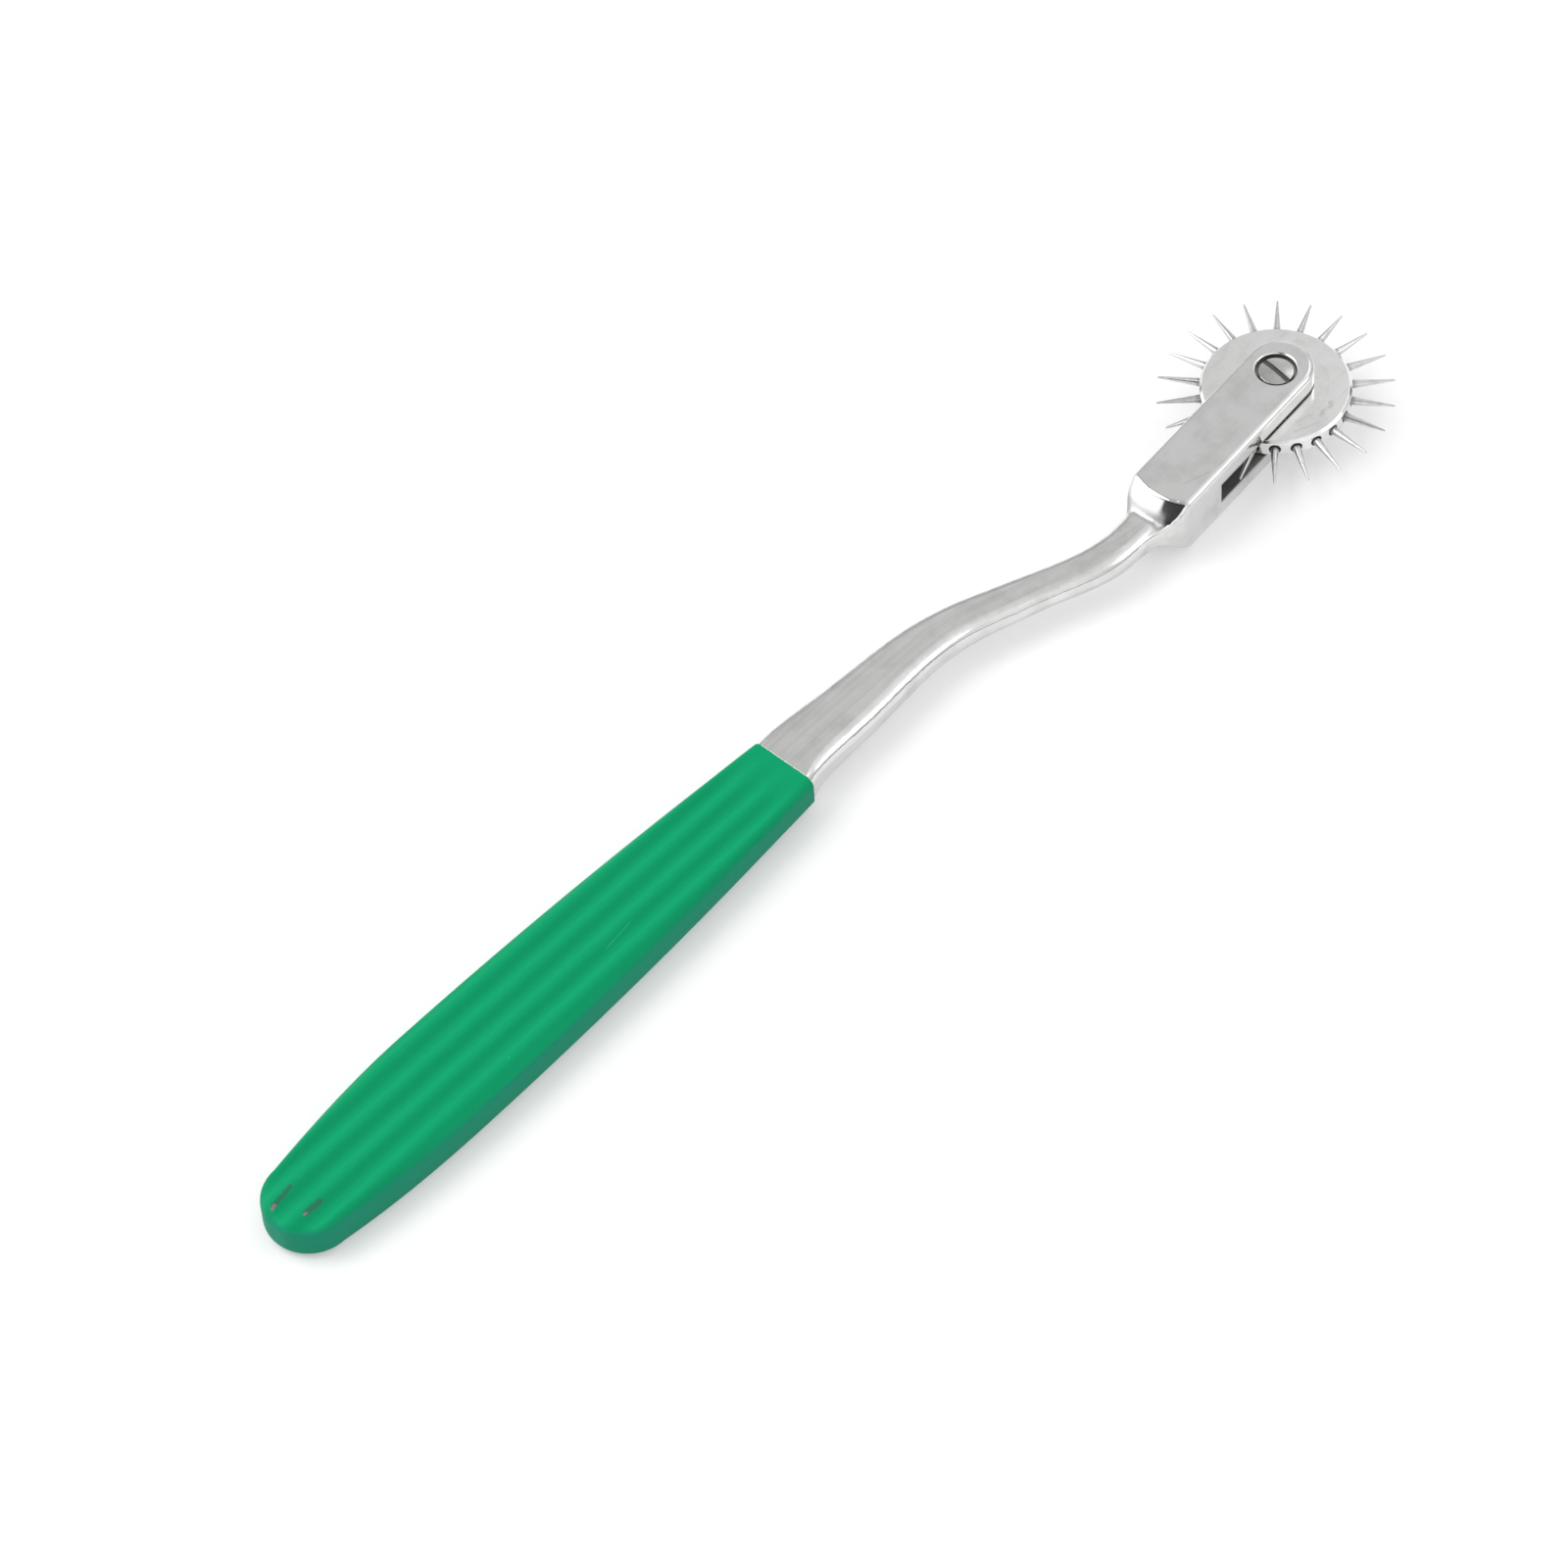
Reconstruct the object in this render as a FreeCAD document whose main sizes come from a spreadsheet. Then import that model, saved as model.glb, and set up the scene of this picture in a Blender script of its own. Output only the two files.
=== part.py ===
import FreeCAD, Part
import math
import os
import Sketcher

os.makedirs("parts", exist_ok=True)
doc = FreeCAD.newDocument("pinwheel")

# Driving dimensions, in millimetres and degrees. Lengths along the handle are
# counted from the wheel axis, and thicknesses are split evenly about the wheel's mid-plane.
SIZES = (
    ("handle_reach", 174.0, "wheel axis to the tail end of the handle"),
    ("handle_offset", 6.6, "handle centreline to the wheel axis, across the handle"),
    ("grip_length", 88.7, "coated part of the handle"),
    ("grip_front_width", 9.4, "grip across its front end"),
    ("grip_width", 14.3, "grip across its widest place"),
    ("grip_nose_length", 28.9, "widest place to the tail end"),
    ("grip_nose_radius", 5.65, "tip of the rounded tail, seen from above"),
    ("grip_nose_offset", 0.3, "tip of the tail, off the handle's centreline"),
    ("grip_edge", 1.2, "rounding along the grip's edges"),
    ("grip_front_thickness", 4.9, "grip over its lobes at the front"),
    ("grip_tail_thickness", 5.8, "grip over its lobes at the tail"),
    ("flute_front_pitch", 3.25, "lobe to lobe at the front"),
    ("flute_tail_pitch", 3.7, "lobe to lobe at the tail"),
    ("flute_front_depth", 0.3, "groove between two lobes at the front"),
    ("flute_tail_depth", 0.5, "groove between two lobes at the tail"),
    ("coat_thickness", 0.4, "green coat round the tang"),
    ("coat_proud", 0.1, "step from the bare metal up to the coat"),
    ("neck_end_width", 4.8, "neck where it runs into the shoulder"),
    ("neck_waist_thickness", 3.3, "neck at its thinnest"),
    ("neck_root_corner", 1.0, "rounding along the neck's edges at the grip"),
    ("neck_corner", 1.5, "rounding along the neck's edges everywhere else"),
    ("neck_end_offset", 0.3, "neck's centre to the fork's axis at the shoulder"),
    ("shoulder_length", 4.3, "end of the neck to the end of the fork's upper face"),
    ("shoulder_width", 7.0, "neck flared out where it enters the fork"),
    ("shoulder_thickness", 3.6, "neck where it enters the fork"),
    ("shoulder_round", 8.0, "upper shoulder in plan, where it leaves the fork's upper face"),
    ("shoulder_hollow", 2.0, "hollow between the upper shoulder and the neck"),
    ("shoulder_foot", 1.6, "foot of that hollow above the mid-plane"),
    ("flare_length", 6.2, "end of the flares to the end of the fork's upper face"),
    ("flare_radius", 8.0, "hollow flare of the shoulder's two sides"),
    ("flare_narrow", 3.8, "end of the flares, inside the neck"),
    ("flare_corner", 4.0, "rounding from a flare to the fork's side"),
    ("shoulder_top_slope", 48.0, "upper side of the shoulder, in degrees"),
    ("shoulder_under_slope", 33.0, "lower face of the shoulder, in degrees"),
    ("ridge_rounding", 0.8, "rounding between the upper shoulder and the flares"),
    ("shoulder_web", 1.0, "lower face of the shoulder ends this far off the mid-plane"),
    ("fork_turn", 4.0, "fork's direction against the handle's, in degrees"),
    ("fork_reach", 25.4, "wheel axis to the end of the fork's upper face"),
    ("fork_under_reach", 23.3, "wheel axis to the end of the fork's lower face"),
    ("fork_overhang", 0.8, "wheel axis to the centre of the fork's round end"),
    ("fork_width", 8.7, "fork across its cheeks"),
    ("fork_thickness", 8.7, "outer face to outer face"),
    ("fork_edge", 0.7, "rounding along the fork's outer edges"),
    ("slot_width", 3.2, "gap between the cheeks"),
    ("slot_reach", 17.65, "wheel axis to the bottom of the gap"),
    ("wheel_reach", 15.2, "wheel axis to the needle tips"),
    ("disc_diameter", 19.3, "wheel disc"),
    ("disc_thickness", 2.6, "wheel disc"),
    ("disc_edge", 0.35, "chamfer round the disc"),
    ("pin_phase", 6.2, "first needle against the handle's direction, in degrees"),
    ("pin_diameter", 1.1, "needle where it leaves the rim"),
    ("pin_tip_radius", 0.12, "rounded needle tip"),
    ("pin_seat_depth", 2.6, "needle held inside the rim"),
    ("pin_countersink", 1.65, "mouth of a rim hole"),
    ("pin_countersink_depth", 0.3, "mouth of a rim hole"),
    ("screw_head_diameter", 4.5, "slotted head of the axle screw"),
    ("screw_head_height", 0.7, "head at its edge"),
    ("screw_dome_height", 0.2, "crown on the head"),
    ("screw_slot_width", 0.6, "screwdriver slot"),
    ("screw_slot_depth", 0.5, "screwdriver slot, from the crown"),
    ("screw_slot_turn", 82.0, "slot against the handle's direction, in degrees"),
    ("head_clearance", 0.4, "head to its counterbore, all round"),
    ("counterbore_depth", 1.1, "recess of the head in the upper cheek"),
    ("counterbore_edge", 0.15, "chamfer round the recess"),
    ("axle_diameter", 3.2, "plain shank that the wheel turns on"),
    ("running_clearance", 0.04, "shank to the wheel's bore, all round"),
    ("thread_diameter", 2.6, "threaded end in the lower cheek"),
    ("thread_recess", 0.3, "screw end below the lower cheek's face"),
    ("thread_chamfer", 0.3, "lead on the screw's end"),
    ("overrun", 1.0, "how far cutting tools run past a face"),
)
TOLERANCE = 1e-6
PIN_COUNT = 22
LOBE_COUNT = 6

# The neck between the grip and the shoulder. Each row is one cross-section: its place along
# the neck, its centre between the neck's end (0) and the handle's centreline (1), its width
# between the end (0) and the root at the grip (1), and its thickness between the waist (0)
# and the root (1).
NECK_SHARES = (
    (0.0, 1.0, 1.0, 1.0),
    (0.185, 1.045, 0.74, 0.82),
    (0.348, 1.035, 0.52, 0.60),
    (0.511, 0.95, 0.31, 0.33),
    (0.665, 0.62, 0.21, 0.03),
    (0.80, 0.26, 0.11, 0.07),
    (0.909, 0.03, 0.04, 0.28),
    (1.0, 0.0, 0.0, 0.42),
)

sheet = doc.addObject("Spreadsheet::Sheet", "sizes")
for row, (alias, value, meaning) in enumerate(SIZES, start=1):
    sheet.set(f"A{row}", meaning)
    sheet.set(f"B{row}", str(value))
    sheet.setAlias(f"B{row}", alias)
doc.recompute()


# Sketches and their outlines

def attach(sketch, body, role, turn_axis=None):
    """Lay a sketch on one of its body's own origin planes."""
    plane = [item for item in body.Origin.OriginFeatures if item.Role == role][0]
    sketch.AttachmentSupport = [(plane, "")]
    sketch.MapMode = "FlatFace"
    if turn_axis is not None:
        sketch.AttachmentOffset = FreeCAD.Placement(
            FreeCAD.Vector(), FreeCAD.Rotation(turn_axis, 1))
        sketch.setExpression("AttachmentOffset.Rotation.Angle", "sizes.fork_turn")


def new_body(name):
    """A body whose own origin is the wheel's centre."""
    body = doc.addObject("PartDesign::Body", name)
    body.Label = name
    body.setExpression("Placement.Base.x", "(sizes.handle_reach - sizes.pin_tip_radius"
                       " - cos(sizes.pin_phase) * (sizes.wheel_reach - sizes.pin_tip_radius)) / 2")
    body.setExpression("Placement.Base.z", "sizes.fork_thickness / 2")
    return body


def draw_outline(sketch, corners, arcs, hollows=None):
    """Closed outline through corners given as pairs of formulas, counter-clockwise. An edge
    whose number is in arcs is an arc of that radius that bulges outwards, and one in hollows
    an arc that curves inwards."""
    hollows = hollows or {}
    places = [FreeCAD.Vector(sketch.evalExpression(x), sketch.evalExpression(y), 0)
              for x, y in corners]
    for edge, start in enumerate(places):
        end = places[(edge + 1) % len(places)]
        if edge in arcs or edge in hollows:
            radius = sketch.evalExpression(arcs.get(edge) or hollows[edge])
            half_chord = (end - start) / 2
            inward = FreeCAD.Vector(-half_chord.y, half_chord.x, 0).normalize()
            # A half circle's centre lies on its chord, so rounding errors are left out there
            depth = radius - half_chord.Length
            drop = math.sqrt(depth * (radius + half_chord.Length)) if depth > TOLERANCE else 0
            first, last = (start, end) if edge in arcs else (end, start)
            centre = start + half_chord + inward * (drop if edge in arcs else -drop)
            circle = Part.Circle(centre, FreeCAD.Vector(0, 0, 1), radius)
            first_angle = math.atan2(first.y - centre.y, first.x - centre.x)
            last_angle = math.atan2(last.y - centre.y, last.x - centre.x)
            sketch.addGeometry(Part.ArcOfCircle(circle, first_angle, last_angle))
        else:
            sketch.addGeometry(Part.LineSegment(start, end))
    starts = [2 if edge in hollows else 1 for edge in range(len(corners))]
    for edge, (corner, place) in enumerate(zip(corners, places)):
        previous = (edge - 1) % len(corners)
        sketch.addConstraint(Sketcher.Constraint(
            "Coincident", previous, 3 - starts[previous], edge, starts[edge]))
        for axis, kind, formula, value in (
                (-2, "DistanceX", corner[0], place.x), (-1, "DistanceY", corner[1], place.y)):
            if value == 0:
                sketch.addConstraint(Sketcher.Constraint("PointOnObject", edge, starts[edge], axis))
            else:
                number = sketch.addConstraint(
                    Sketcher.Constraint(kind, -1, 1, edge, starts[edge], value))
                sketch.setExpression(f"Constraints[{number}]", formula)
    for edge, radius in [*arcs.items(), *hollows.items()]:
        value = sketch.evalExpression(radius)
        number = sketch.addConstraint(Sketcher.Constraint("Radius", edge, value))
        sketch.setExpression(f"Constraints[{number}]", radius)


def is_level(edge):
    """Whether an edge lies in one plane across the wheel's axis."""
    return edge.BoundBox.ZLength < TOLERANCE


def rounded_section(body, name, reach, centre, width, thickness, corner, turned=False):
    """Rounded rectangle that stands across the handle, reach before the wheel axis."""
    sketch = body.newObject("Sketcher::SketchObject", name)
    attach(sketch, body, "YZ_Plane", FreeCAD.Vector(0, 1, 0) if turned else None)
    if turned:
        sketch.setExpression("AttachmentOffset.Base.x", f"-({reach}) * sin(sizes.fork_turn)")
        sketch.setExpression("AttachmentOffset.Base.z", f"-({reach}) * cos(sizes.fork_turn)")
    else:
        sketch.setExpression("AttachmentOffset.Base.z", f"-({reach})")
    left, right = f"{centre} - ({width}) / 2", f"{centre} + ({width}) / 2"
    top = f"({thickness}) / 2"
    corners = (
        (right, f"{corner} - {top}"), (right, f"{top} - {corner}"),
        (f"{right} - {corner}", top), (f"{left} + {corner}", top),
        (left, f"{top} - {corner}"), (left, f"{corner} - {top}"),
        (f"{left} + {corner}", f"-{top}"), (f"{right} - {corner}", f"-{top}"))
    draw_outline(sketch, corners, {edge: corner for edge in (1, 3, 5, 7)})
    return sketch


def loft(body, name, sections, ruled):
    """Join cross-sections, in order, into one solid stretch."""
    feature = body.newObject("PartDesign::AdditiveLoft", name)
    feature.Profile = sections[0]
    feature.Sections = sections[1:]
    feature.Ruled = ruled
    return feature


# Handle blank: a bar with lobes along both faces, cut to the grip's outline. The coat's outside
# and the tang inside it are the same blank, the tang set in by the coat's thickness.

def lobed_section(body, name, reach, pitch, thickness, depth, inset):
    """Cross-section of the lobes: one outward arc for each lobe on both faces."""
    sketch = body.newObject("Sketcher::SketchObject", name)
    attach(sketch, body, "YZ_Plane")
    sketch.setExpression("AttachmentOffset.Base.z", f"-({reach})")
    valley = f"{thickness} / 2 - {depth} - {inset}"
    stops = [f"sizes.handle_offset + {lobe - LOBE_COUNT / 2} * {pitch}"
             for lobe in range(LOBE_COUNT + 1)]
    corners = [(stop, f"-({valley})") for stop in stops]
    corners += [(stop, valley) for stop in reversed(stops)]
    lobe_radius = f"({pitch} ^ 2 / 4 + {depth} ^ 2) / (2 * {depth})"
    arcs = {edge: lobe_radius for edge in range(2 * LOBE_COUNT + 1) if edge != LOBE_COUNT}
    draw_outline(sketch, corners, arcs)
    return sketch


def lobed_bar(name, inset):
    """Lobed bar from the grip's front past its tail."""
    body = new_body(name)
    front = lobed_section(body, f"{name}_front", "sizes.handle_reach - sizes.grip_length",
                          "sizes.flute_front_pitch", "sizes.grip_front_thickness",
                          "sizes.flute_front_depth", inset)
    tail = lobed_section(body, f"{name}_tail", "sizes.handle_reach + sizes.overrun",
                         "sizes.flute_tail_pitch", "sizes.grip_tail_thickness",
                         "sizes.flute_tail_depth", inset)
    loft(body, f"{name}_loft", [front, tail], ruled=True)
    return body


def grip_outline(name, inset):
    """Slab with the grip's outline from above and rounded edges: every arc of the outline runs
    smoothly into the next one."""
    body = new_body(name)
    sketch = body.newObject("Sketcher::SketchObject", f"{name}_sketch")
    attach(sketch, body, "XY_Plane")
    front = "-(sizes.handle_reach - sizes.grip_length)"
    widest = "-(sizes.handle_reach - sizes.grip_nose_length)"
    half_front = f"(sizes.grip_front_width / 2 - {inset})"
    half_width = f"(sizes.grip_width / 2 - {inset})"
    length, tip = f"(sizes.grip_nose_length - {inset})", f"(sizes.grip_nose_radius - {inset})"
    swell = "((sizes.grip_width - sizes.grip_front_width) / 2)"
    side = f"((sizes.grip_length - sizes.grip_nose_length) ^ 2 + {swell} ^ 2) / (2 * {swell})"
    middle = "sizes.handle_offset"
    tip_middle = "(sizes.handle_offset - sizes.grip_nose_offset)"

    def flank(sign):
        """Radius of one flank of the tail, and where it meets the tip's arc."""
        half = f"({half_width} {sign} sizes.grip_nose_offset)"
        radius = f"((({length} - {tip}) ^ 2 + {half} ^ 2 - {tip} ^ 2) / (2 * ({half} - {tip})))"
        spread = f"({radius} - {tip})"
        touch_x = (f"sizes.grip_nose_radius - sizes.handle_reach"
                   f" - {tip} * ({length} - {tip}) / {spread}")
        touch_y = f"{tip_middle} {sign} {tip} * ({radius} - {half}) / {spread}"
        return radius, (touch_x, touch_y)

    left_radius, left_touch = flank("+")
    right_radius, right_touch = flank("-")
    draw_outline(sketch, (
        (front, f"{middle} - {half_front}"), (front, f"{middle} + {half_front}"),
        (widest, f"{middle} + {half_width}"), left_touch, right_touch,
        (widest, f"{middle} - {half_width}")),
        {1: side, 2: left_radius, 3: tip, 4: right_radius, 5: side})
    pad = body.newObject("PartDesign::Pad", f"{name}_pad")
    pad.Profile = sketch
    pad.SideType = "Symmetric"
    pad.setExpression("Length", f"sizes.grip_tail_thickness - 2 * {inset}")
    doc.recompute()
    # Every edge round the two faces is rounded but the one at the grip's front end
    front_x = sheet.grip_length - sheet.handle_reach
    rounding = body.newObject("PartDesign::Fillet", f"{name}_rounding")
    rounding.Base = (pad, [f"Edge{number}" for number, edge in enumerate(pad.Shape.Edges, start=1)
                           if is_level(edge) and edge.CenterOfMass.x < front_x])
    rounding.setExpression("Radius", f"sizes.grip_edge - {inset}")
    return body


def handle_blank(name, inset):
    """Lobed bar cut to the grip's outline."""
    blank = doc.addObject("Part::Common", name)
    blank.Base = lobed_bar(f"{name}_lobes", inset)
    blank.Tool = grip_outline(f"{name}_outline", inset)
    return blank


tang = handle_blank("tang", "sizes.coat_thickness")
grip = handle_blank("grip", "0")
coating = doc.addObject("Part::Cut", "grip_coating")
coating.Label = "grip_coating"
coating.Base = grip
coating.Tool = tang


# Fork frame: tang, bent neck, shoulder and slotted fork, all one forged bar

def fork_block(body):
    """The solid fork before it is slotted: round at the wheel, its sides run into hollow
    flares that end inside the neck."""
    sketch = body.newObject("Sketcher::SketchObject", "fork_outline")
    attach(sketch, body, "XY_Plane", FreeCAD.Vector(0, 0, 1))
    half, narrow = "(sizes.fork_width / 2)", "(sizes.flare_narrow / 2)"
    back = "(-sizes.fork_reach - sizes.flare_length)"
    hollow, corner = "sizes.flare_radius", "sizes.flare_corner"
    # A hollow arc and a rounded corner, each running smoothly into the next
    drop, both = f"({half} - {narrow})", f"({hollow} + {corner})"
    run = f"sqrt((2 * {both} - {drop}) * {drop})"
    side = f"({back} + {run})"
    touch = f"({back} + {run} * {hollow} / {both})"
    touch_half = f"({narrow} + {drop} * {hollow} / {both})"
    tip = f"sizes.fork_overhang + {half}"
    draw_outline(sketch, (
        (back, f"-{narrow}"), (touch, f"-{touch_half}"), (side, f"-{half}"),
        ("sizes.fork_overhang", f"-{half}"), (tip, "0"), ("sizes.fork_overhang", half),
        (side, half), (touch, touch_half), (back, narrow)),
        {1: corner, 3: half, 4: half, 6: corner}, {0: hollow, 7: hollow})
    pad = body.newObject("PartDesign::Pad", "fork_pad")
    pad.Profile = sketch
    pad.SideType = "Symmetric"
    pad.setExpression("Length", "sizes.fork_thickness")
    doc.recompute()
    # The edges along the cheeks and round their end are rounded, those of the flares are not
    across = FreeCAD.Rotation(FreeCAD.Vector(0, 0, 1), sheet.fork_turn).inverted()
    rounding = body.newObject("PartDesign::Fillet", "fork_rounding")
    rounding.Base = (pad, [f"Edge{number}" for number, edge in enumerate(pad.Shape.Edges, start=1)
                           if is_level(edge)
                           and across.multVec(edge.CenterOfMass).x > -sheet.fork_reach])
    rounding.setExpression("Radius", "sizes.fork_edge")


def upper_shoulder(body):
    """Rounded slope that leads from the upper face of the fork down into the neck."""
    sketch = body.newObject("Sketcher::SketchObject", "upper_shoulder_profile")
    attach(sketch, body, "XZ_Plane", FreeCAD.Vector(0, 1, 0))
    centre = "(sizes.fork_reach - sizes.shoulder_round)"
    sketch.setExpression("AttachmentOffset.Base.x", f"-{centre} * cos(sizes.fork_turn)")
    sketch.setExpression("AttachmentOffset.Base.z", f"{centre} * sin(sizes.fork_turn)")
    face, foot, edge = "(sizes.fork_thickness / 2)", "sizes.shoulder_foot", "sizes.shoulder_round"
    slope = "sizes.shoulder_top_slope"
    back = f"-({edge} + sizes.flare_length + sizes.overrun)"
    touch = f"sizes.shoulder_hollow * tan({slope} / 2)"
    corner = f"(-{edge} - ({face} - {foot}) / tan({slope}))"
    draw_outline(sketch, (
        (f"sizes.overrun / tan({slope}) - {edge}", f"{face} + sizes.overrun"),
        (back, f"{face} + sizes.overrun"), (back, foot), (f"{corner} - {touch}", foot),
        (f"{corner} + {touch} * cos({slope})", f"{foot} + {touch} * sin({slope})")),
        {3: "sizes.shoulder_hollow"})
    cut = body.newObject("PartDesign::Groove", "upper_shoulder")
    cut.Profile = sketch
    cut.ReferenceAxis = (sketch, ["V_Axis"])
    cut.Midplane = True
    cut.Angle = 180


def lower_facet(body):
    """Sloped face that leads from the lower face of the fork up to the neck."""
    sketch = body.newObject("Sketcher::SketchObject", "lower_facet_profile")
    attach(sketch, body, "XZ_Plane", FreeCAD.Vector(0, 1, 0))
    face, web = "(sizes.fork_thickness / 2)", "sizes.shoulder_web"
    slope, reach = "sizes.shoulder_under_slope", "sizes.fork_under_reach"
    back = "-(sizes.fork_reach + sizes.flare_length + sizes.overrun)"
    draw_outline(sketch, (
        (f"sizes.overrun / tan({slope}) - {reach}", f"-{face} - sizes.overrun"),
        (f"-{reach} - ({face} - {web}) / tan({slope})", f"-{web}"),
        (back, f"-{web}"), (back, f"-{face} - sizes.overrun")), {})
    cut = body.newObject("PartDesign::Pocket", "lower_facet")
    cut.Profile = sketch
    cut.SideType = "Symmetric"
    cut.setExpression("Length", "sizes.fork_width + 2 * sizes.overrun")


def round_ridges(body):
    """Rounding where the upper shoulder meets the two flares."""
    doc.recompute()
    block = body.Tip
    slope = [face for face in block.Shape.Faces if isinstance(face.Surface, Part.Cone)][0]
    ridges = [edge for edge in slope.Edges if not is_level(edge)]
    rounding = body.newObject("PartDesign::Fillet", "ridge_rounding")
    rounding.Base = (block, [f"Edge{number}" for number, edge in enumerate(block.Shape.Edges, start=1)
                             if any(edge.isSame(ridge) for ridge in ridges)])
    rounding.setExpression("Radius", "sizes.ridge_rounding")


def neck_sections(body):
    """Cross-sections of the neck, from the grip's front to its end inside the fork."""
    root_width = "sizes.grip_front_width - 2 * sizes.coat_proud"
    root_thickness = "sizes.grip_front_thickness - 2 * sizes.coat_proud"
    root_reach = "(sizes.handle_reach - sizes.grip_length)"
    end_reach = "(sizes.fork_reach + sizes.shoulder_length)"
    end_offset = f"(sizes.neck_end_offset - {end_reach} * tan(sizes.fork_turn))"
    sections = []
    for number, (place, offset, width, thickness) in enumerate(NECK_SHARES, start=1):
        reach = f"{root_reach} + {place} * ({end_reach} - {root_reach})"
        centre = f"{end_offset} + {offset} * (sizes.handle_offset - {end_offset})"
        wide = f"sizes.neck_end_width + {width} * ({root_width} - sizes.neck_end_width)"
        thick = (f"sizes.neck_waist_thickness"
                 f" + {thickness} * ({root_thickness} - sizes.neck_waist_thickness)")
        corner = "sizes.neck_corner" if number > 1 else "sizes.neck_root_corner"
        sections.append(rounded_section(body, f"neck_section_{number}", reach, centre,
                                        wide, thick, corner))
    sections.append(rounded_section(
        body, "neck_end", "sizes.fork_reach", "0", "sizes.shoulder_width",
        "sizes.shoulder_thickness", "sizes.neck_corner", turned=True))
    return sections


def cut_slot(body):
    """The gap that the wheel turns in, open at the fork's end and at both sides."""
    sketch = body.newObject("Sketcher::SketchObject", "slot_outline")
    attach(sketch, body, "XY_Plane", FreeCAD.Vector(0, 0, 1))
    side = "(sizes.fork_width / 2 + sizes.overrun)"
    draw_outline(sketch, (("-sizes.slot_reach", f"-{side}"), (side, f"-{side}"), (side, side),
                          ("-sizes.slot_reach", side)), {})
    slot = body.newObject("PartDesign::Pocket", "slot")
    slot.Profile = sketch
    slot.SideType = "Symmetric"
    slot.setExpression("Length", "sizes.slot_width")


def bore_for_screw(body):
    """Counterbore and plain hole in the upper cheek, threaded hole in the lower one."""
    sketch = body.newObject("Sketcher::SketchObject", "bore_profile")
    attach(sketch, body, "XZ_Plane")
    face = "sizes.fork_thickness / 2"
    head = "(sizes.screw_head_diameter / 2 + sizes.head_clearance)"
    shank = "(sizes.axle_diameter / 2 + sizes.running_clearance)"
    thread = "sizes.thread_diameter / 2"
    ledge = f"{face} - sizes.counterbore_depth"
    edge = "sizes.counterbore_edge"
    draw_outline(sketch, (
        ("0", f"-{face} - sizes.overrun"), (thread, f"-{face} - sizes.overrun"), (thread, "0"),
        (shank, "0"), (shank, ledge), (head, ledge), (head, f"{face} - {edge}"),
        (f"{head} + {edge} + sizes.overrun", f"{face} + sizes.overrun"),
        ("0", f"{face} + sizes.overrun")), {})
    bore = body.newObject("PartDesign::Groove", "bore")
    bore.Profile = sketch
    bore.ReferenceAxis = (sketch, ["V_Axis"])
    bore.Angle = 360


def fork_forging():
    """Neck, shoulder and fork, joined to the tang under the coat."""
    body = new_body("fork_forging")
    fork_block(body)
    upper_shoulder(body)
    lower_facet(body)
    round_ridges(body)
    loft(body, "neck", neck_sections(body), ruled=False)
    cut_slot(body)
    bore_for_screw(body)
    return body


frame = doc.addObject("Part::Fuse", "fork_frame")
frame.Label = "fork_frame"
frame.Base = fork_forging()
frame.Tool = tang


# Wheel disc: turned blank with a plain bore and a ring of countersunk holes in its rim

def turned(body, name, corners, arcs=None):
    """Revolve a half profile, drawn on the XZ plane, about the wheel's axis."""
    sketch = body.newObject("Sketcher::SketchObject", f"{name}_profile")
    attach(sketch, body, "XZ_Plane")
    draw_outline(sketch, corners, arcs or {})
    feature = body.newObject("PartDesign::Revolution", name)
    feature.Profile = sketch
    feature.ReferenceAxis = (sketch, ["V_Axis"])
    feature.Angle = 360
    return feature


def wheel_disc():
    body = new_body("wheel_disc")
    body.Placement.Rotation = FreeCAD.Rotation(FreeCAD.Vector(0, 0, 1), 1)
    body.setExpression("Placement.Rotation.Angle", "sizes.pin_phase")
    rim, face = "sizes.disc_diameter / 2", "sizes.disc_thickness / 2"
    bore = "(sizes.axle_diameter / 2 + sizes.running_clearance)"
    turned(body, "disc", (
        (bore, f"-{face}"), (f"{rim} - sizes.disc_edge", f"-{face}"),
        (rim, f"sizes.disc_edge - {face}"), (rim, f"{face} - sizes.disc_edge"),
        (f"{rim} - sizes.disc_edge", face), (bore, face)))
    sketch = body.newObject("Sketcher::SketchObject", "rim_hole_profile")
    attach(sketch, body, "XY_Plane")
    half_pin, mouth = "sizes.pin_diameter / 2", "sizes.pin_countersink / 2"
    slope = f"({mouth} - {half_pin}) / sizes.pin_countersink_depth * sizes.overrun"
    draw_outline(sketch, (
        (f"{rim} - sizes.pin_seat_depth", "0"), (f"{rim} + sizes.overrun", "0"),
        (f"{rim} + sizes.overrun", f"{mouth} + {slope}"),
        (f"{rim} - sizes.pin_countersink_depth", half_pin),
        (f"{rim} - sizes.pin_seat_depth", half_pin)), {})
    hole = body.newObject("PartDesign::Groove", "rim_hole")
    hole.Profile = sketch
    hole.ReferenceAxis = (sketch, ["H_Axis"])
    hole.Angle = 360
    ring = body.newObject("PartDesign::PolarPattern", "rim_holes")
    ring.Originals = [hole]
    axis = [item for item in body.Origin.OriginFeatures if item.Role == "Z_Axis"][0]
    ring.Axis = (axis, [""])
    ring.Angle = 360
    ring.Occurrences = PIN_COUNT
    body.Tip = ring
    return body


# Needle pins: drawn wire ground to a long point, each pressed into its own rim hole

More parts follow.
